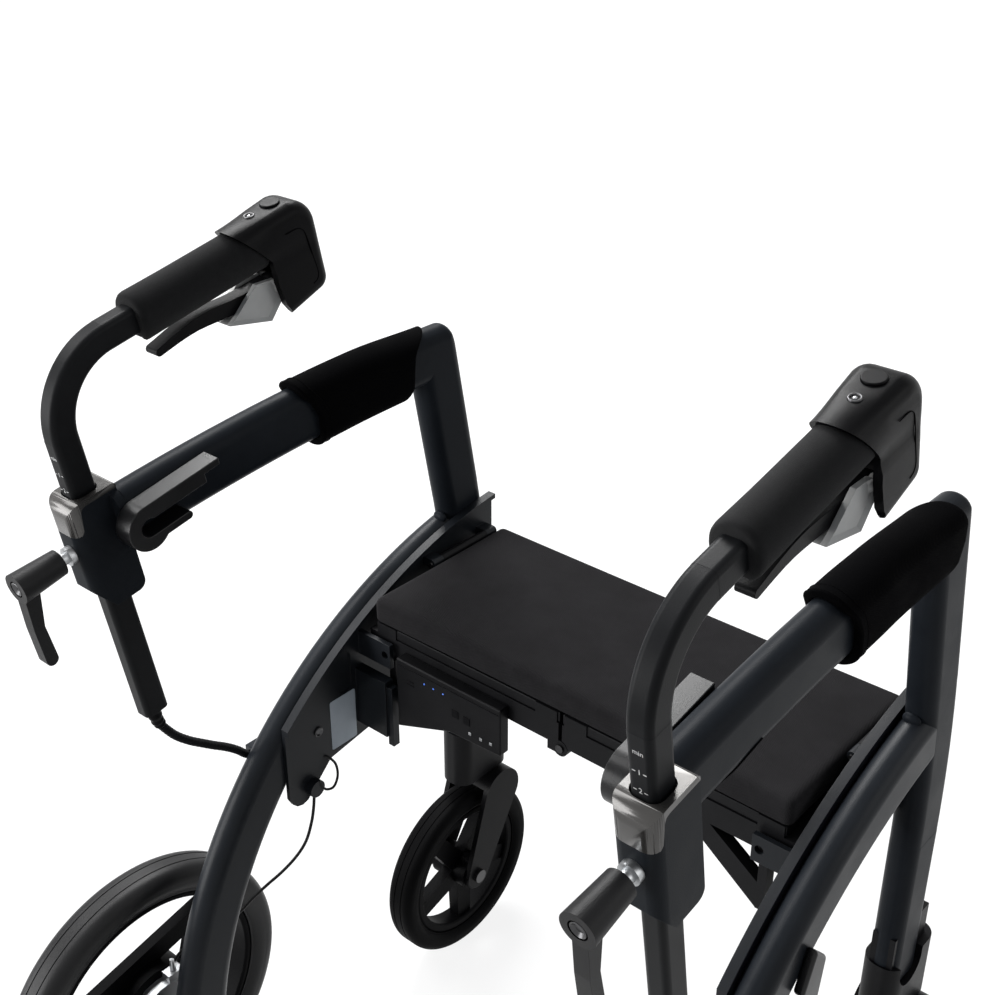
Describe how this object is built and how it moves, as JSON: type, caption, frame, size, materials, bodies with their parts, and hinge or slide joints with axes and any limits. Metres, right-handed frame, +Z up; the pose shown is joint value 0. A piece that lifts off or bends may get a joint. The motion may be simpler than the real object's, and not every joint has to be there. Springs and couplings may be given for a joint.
{
  "type": "rollator transport chair",
  "caption": "Walking frame with a fold-up seat, height-adjustable handles with brakes, swivelling front casters and large rear wheels.",
  "frame": {"origin": "on the floor under the middle of the whole chair", "axes": "+Z up, +Y the walking direction, +X to the walker's right"},
  "size_m": [0.695, 0.64, 0.9334],
  "materials": {
    "frame_paint": "satin",
    "post_paint": "satin",
    "seat_paint": "satin",
    "black_plastic": "matte",
    "grey_plastic": "matte",
    "wheel_plastic": "matte",
    "grip_foam": "matte",
    "pad_cloth": "matte",
    "seat_cloth": "matte",
    "tyre_rubber": "matte",
    "zinc": "satin",
    "cable_rubber": "matte"
  },
  "bodies": {
    "left_frame": {"left_side_rail": "frame_paint", "left_front_upright": "frame_paint", "left_arm_tube": "frame_paint", "left_side_plate": "black_plastic", "left_handle_clamp": "frame_paint", "left_clamp_cap": "black_plastic", "left_clamp_stud": "zinc", "left_arm_pad": "pad_cloth", "left_arm_clip": "black_plastic", "left_caster_head": "black_plastic", "left_rear_axle": "zinc", "left_hinge_pin": "zinc", "left_brake_cable": "cable_rubber", "left_handle_cable": "cable_rubber"},
    "seat_left": {"left_seat_frame": "seat_paint", "left_seat_cushion": "seat_cloth", "control_box": "black_plastic", "centre_hinge_pin": "zinc"},
    "left_handle": {"left_handle_tube": "post_paint", "left_hand_grip": "grip_foam", "left_handle_housing": "black_plastic"},
    "left_brake": {"left_brake_lever": "black_plastic"},
    "left_catch": {"left_parking_catch": "grey_plastic"},
    "left_button": {"left_housing_button": "black_plastic"},
    "left_clamp_handle": {"left_clamp_lever": "black_plastic"},
    "left_caster": {"left_caster_fork": "black_plastic", "left_front_axle": "zinc"},
    "left_front_wheel_set": {"left_front_wheel": "wheel_plastic", "left_front_tyre": "tyre_rubber"},
    "left_rear_wheel_set": {"left_rear_wheel": "wheel_plastic", "left_rear_tyre": "tyre_rubber"},
    "right_frame": {"right_side_rail": "frame_paint", "right_front_upright": "frame_paint", "right_arm_tube": "frame_paint", "right_side_plate": "black_plastic", "right_handle_clamp": "frame_paint", "right_clamp_cap": "black_plastic", "right_clamp_stud": "zinc", "right_arm_pad": "pad_cloth", "right_arm_clip": "black_plastic", "right_caster_head": "black_plastic", "right_rear_axle": "zinc", "right_hinge_pin": "zinc", "right_brake_cable": "cable_rubber", "right_handle_cable": "cable_rubber"},
    "seat_right": {"right_seat_frame": "seat_paint", "right_seat_cushion": "seat_cloth"},
    "right_handle": {"right_handle_tube": "post_paint", "right_hand_grip": "grip_foam", "right_handle_housing": "black_plastic"},
    "right_brake": {"right_brake_lever": "black_plastic"},
    "right_catch": {"right_parking_catch": "grey_plastic"},
    "right_button": {"right_housing_button": "black_plastic"},
    "right_clamp_handle": {"right_clamp_lever": "black_plastic"},
    "right_caster": {"right_caster_fork": "black_plastic", "right_front_axle": "zinc"},
    "right_front_wheel_set": {"right_front_wheel": "wheel_plastic", "right_front_tyre": "tyre_rubber"},
    "right_rear_wheel_set": {"right_rear_wheel": "wheel_plastic", "right_rear_tyre": "tyre_rubber"}
  },
  "joints": [
    {"name": "seat_fold", "type": "hinge", "parent": "left_frame", "child": "seat_left", "pos_m": [-0.229, 0.199, 0.546], "axis": [0, -1, 0], "range_deg": [0, 72]},
    {"name": "seat_fold_centre", "type": "hinge", "parent": "seat_left", "child": "seat_right", "pos_m": [0, 0.161, 0.487], "axis": [0, -1, 0], "range_deg": [-144, 0]},
    {"name": "seat_fold_right", "type": "hinge", "parent": "seat_right", "child": "right_frame", "pos_m": [0.229, 0.199, 0.546], "axis": [0, -1, 0], "range_deg": [0, 72]},
    {"name": "left_handle_height", "type": "slide", "parent": "left_frame", "child": "left_handle", "axis": [0, -0.1685, 0.9857], "range_m": [-0.03, 0.1], "deforming": ["left_handle_cable"]},
    {"name": "left_clamp_turn", "type": "hinge", "parent": "left_frame", "child": "left_clamp_handle", "pos_m": [-0.27, -0.23667, 0.69688], "axis": [0, 0.9857, 0.1685], "range_deg": [-120, 120]},
    {"name": "left_brake_squeeze", "type": "hinge", "parent": "left_handle", "child": "left_brake", "pos_m": [-0.27, 0.01346, 0.86383], "axis": [-1, 0, 0], "range_deg": [0, 6], "stiffness_Nm_per_rad": 8, "springref_deg": -2.86},
    {"name": "left_catch_swing", "type": "hinge", "parent": "left_handle", "child": "left_catch", "pos_m": [-0.27, 0.01346, 0.86383], "axis": [1, 0, 0], "range_deg": [0, 25]},
    {"name": "left_button_press", "type": "slide", "parent": "left_handle", "child": "left_button", "axis": [0, 0.2079, -0.9781], "range_m": [0, 0.0015], "stiffness_N_per_m": 2000},
    {"name": "left_caster_swivel", "type": "hinge", "parent": "left_frame", "child": "left_caster", "pos_m": [-0.258, 0.259, 0.25], "axis": [0, 0, 1], "continuous": true},
    {"name": "left_front_wheel_spin", "type": "hinge", "parent": "left_caster", "child": "left_front_wheel_set", "pos_m": [-0.258, 0.217, 0.103], "axis": [1, 0, 0], "continuous": true},
    {"name": "left_rear_wheel_spin", "type": "hinge", "parent": "left_frame", "child": "left_rear_wheel_set", "pos_m": [-0.327, -0.168, 0.152], "axis": [1, 0, 0], "continuous": true},
    {"name": "right_handle_height", "type": "slide", "parent": "right_frame", "child": "right_handle", "axis": [0, -0.1685, 0.9857], "range_m": [-0.03, 0.1], "deforming": ["right_handle_cable"]},
    {"name": "right_clamp_turn", "type": "hinge", "parent": "right_frame", "child": "right_clamp_handle", "pos_m": [0.27, -0.23667, 0.69688], "axis": [0, 0.9857, 0.1685], "range_deg": [-120, 120]},
    {"name": "right_brake_squeeze", "type": "hinge", "parent": "right_handle", "child": "right_brake", "pos_m": [0.27, 0.01346, 0.86383], "axis": [-1, 0, 0], "range_deg": [0, 6], "stiffness_Nm_per_rad": 8, "springref_deg": -2.86},
    {"name": "right_catch_swing", "type": "hinge", "parent": "right_handle", "child": "right_catch", "pos_m": [0.27, 0.01346, 0.86383], "axis": [1, 0, 0], "range_deg": [0, 25]},
    {"name": "right_button_press", "type": "slide", "parent": "right_handle", "child": "right_button", "axis": [0, 0.2079, -0.9781], "range_m": [0, 0.0015], "stiffness_N_per_m": 2000},
    {"name": "right_caster_swivel", "type": "hinge", "parent": "right_frame", "child": "right_caster", "pos_m": [0.258, 0.259, 0.25], "axis": [0, 0, 1], "continuous": true},
    {"name": "right_front_wheel_spin", "type": "hinge", "parent": "right_caster", "child": "right_front_wheel_set", "pos_m": [0.258, 0.217, 0.103], "axis": [1, 0, 0], "continuous": true},
    {"name": "right_rear_wheel_spin", "type": "hinge", "parent": "right_frame", "child": "right_rear_wheel_set", "pos_m": [0.327, -0.168, 0.152], "axis": [1, 0, 0], "continuous": true}
  ],
  "couplings": [
    {"joint": "seat_fold_centre", "follows": "seat_fold", "ratio": -2},
    {"joint": "seat_fold_right", "follows": "seat_fold", "ratio": 1}
  ]
}
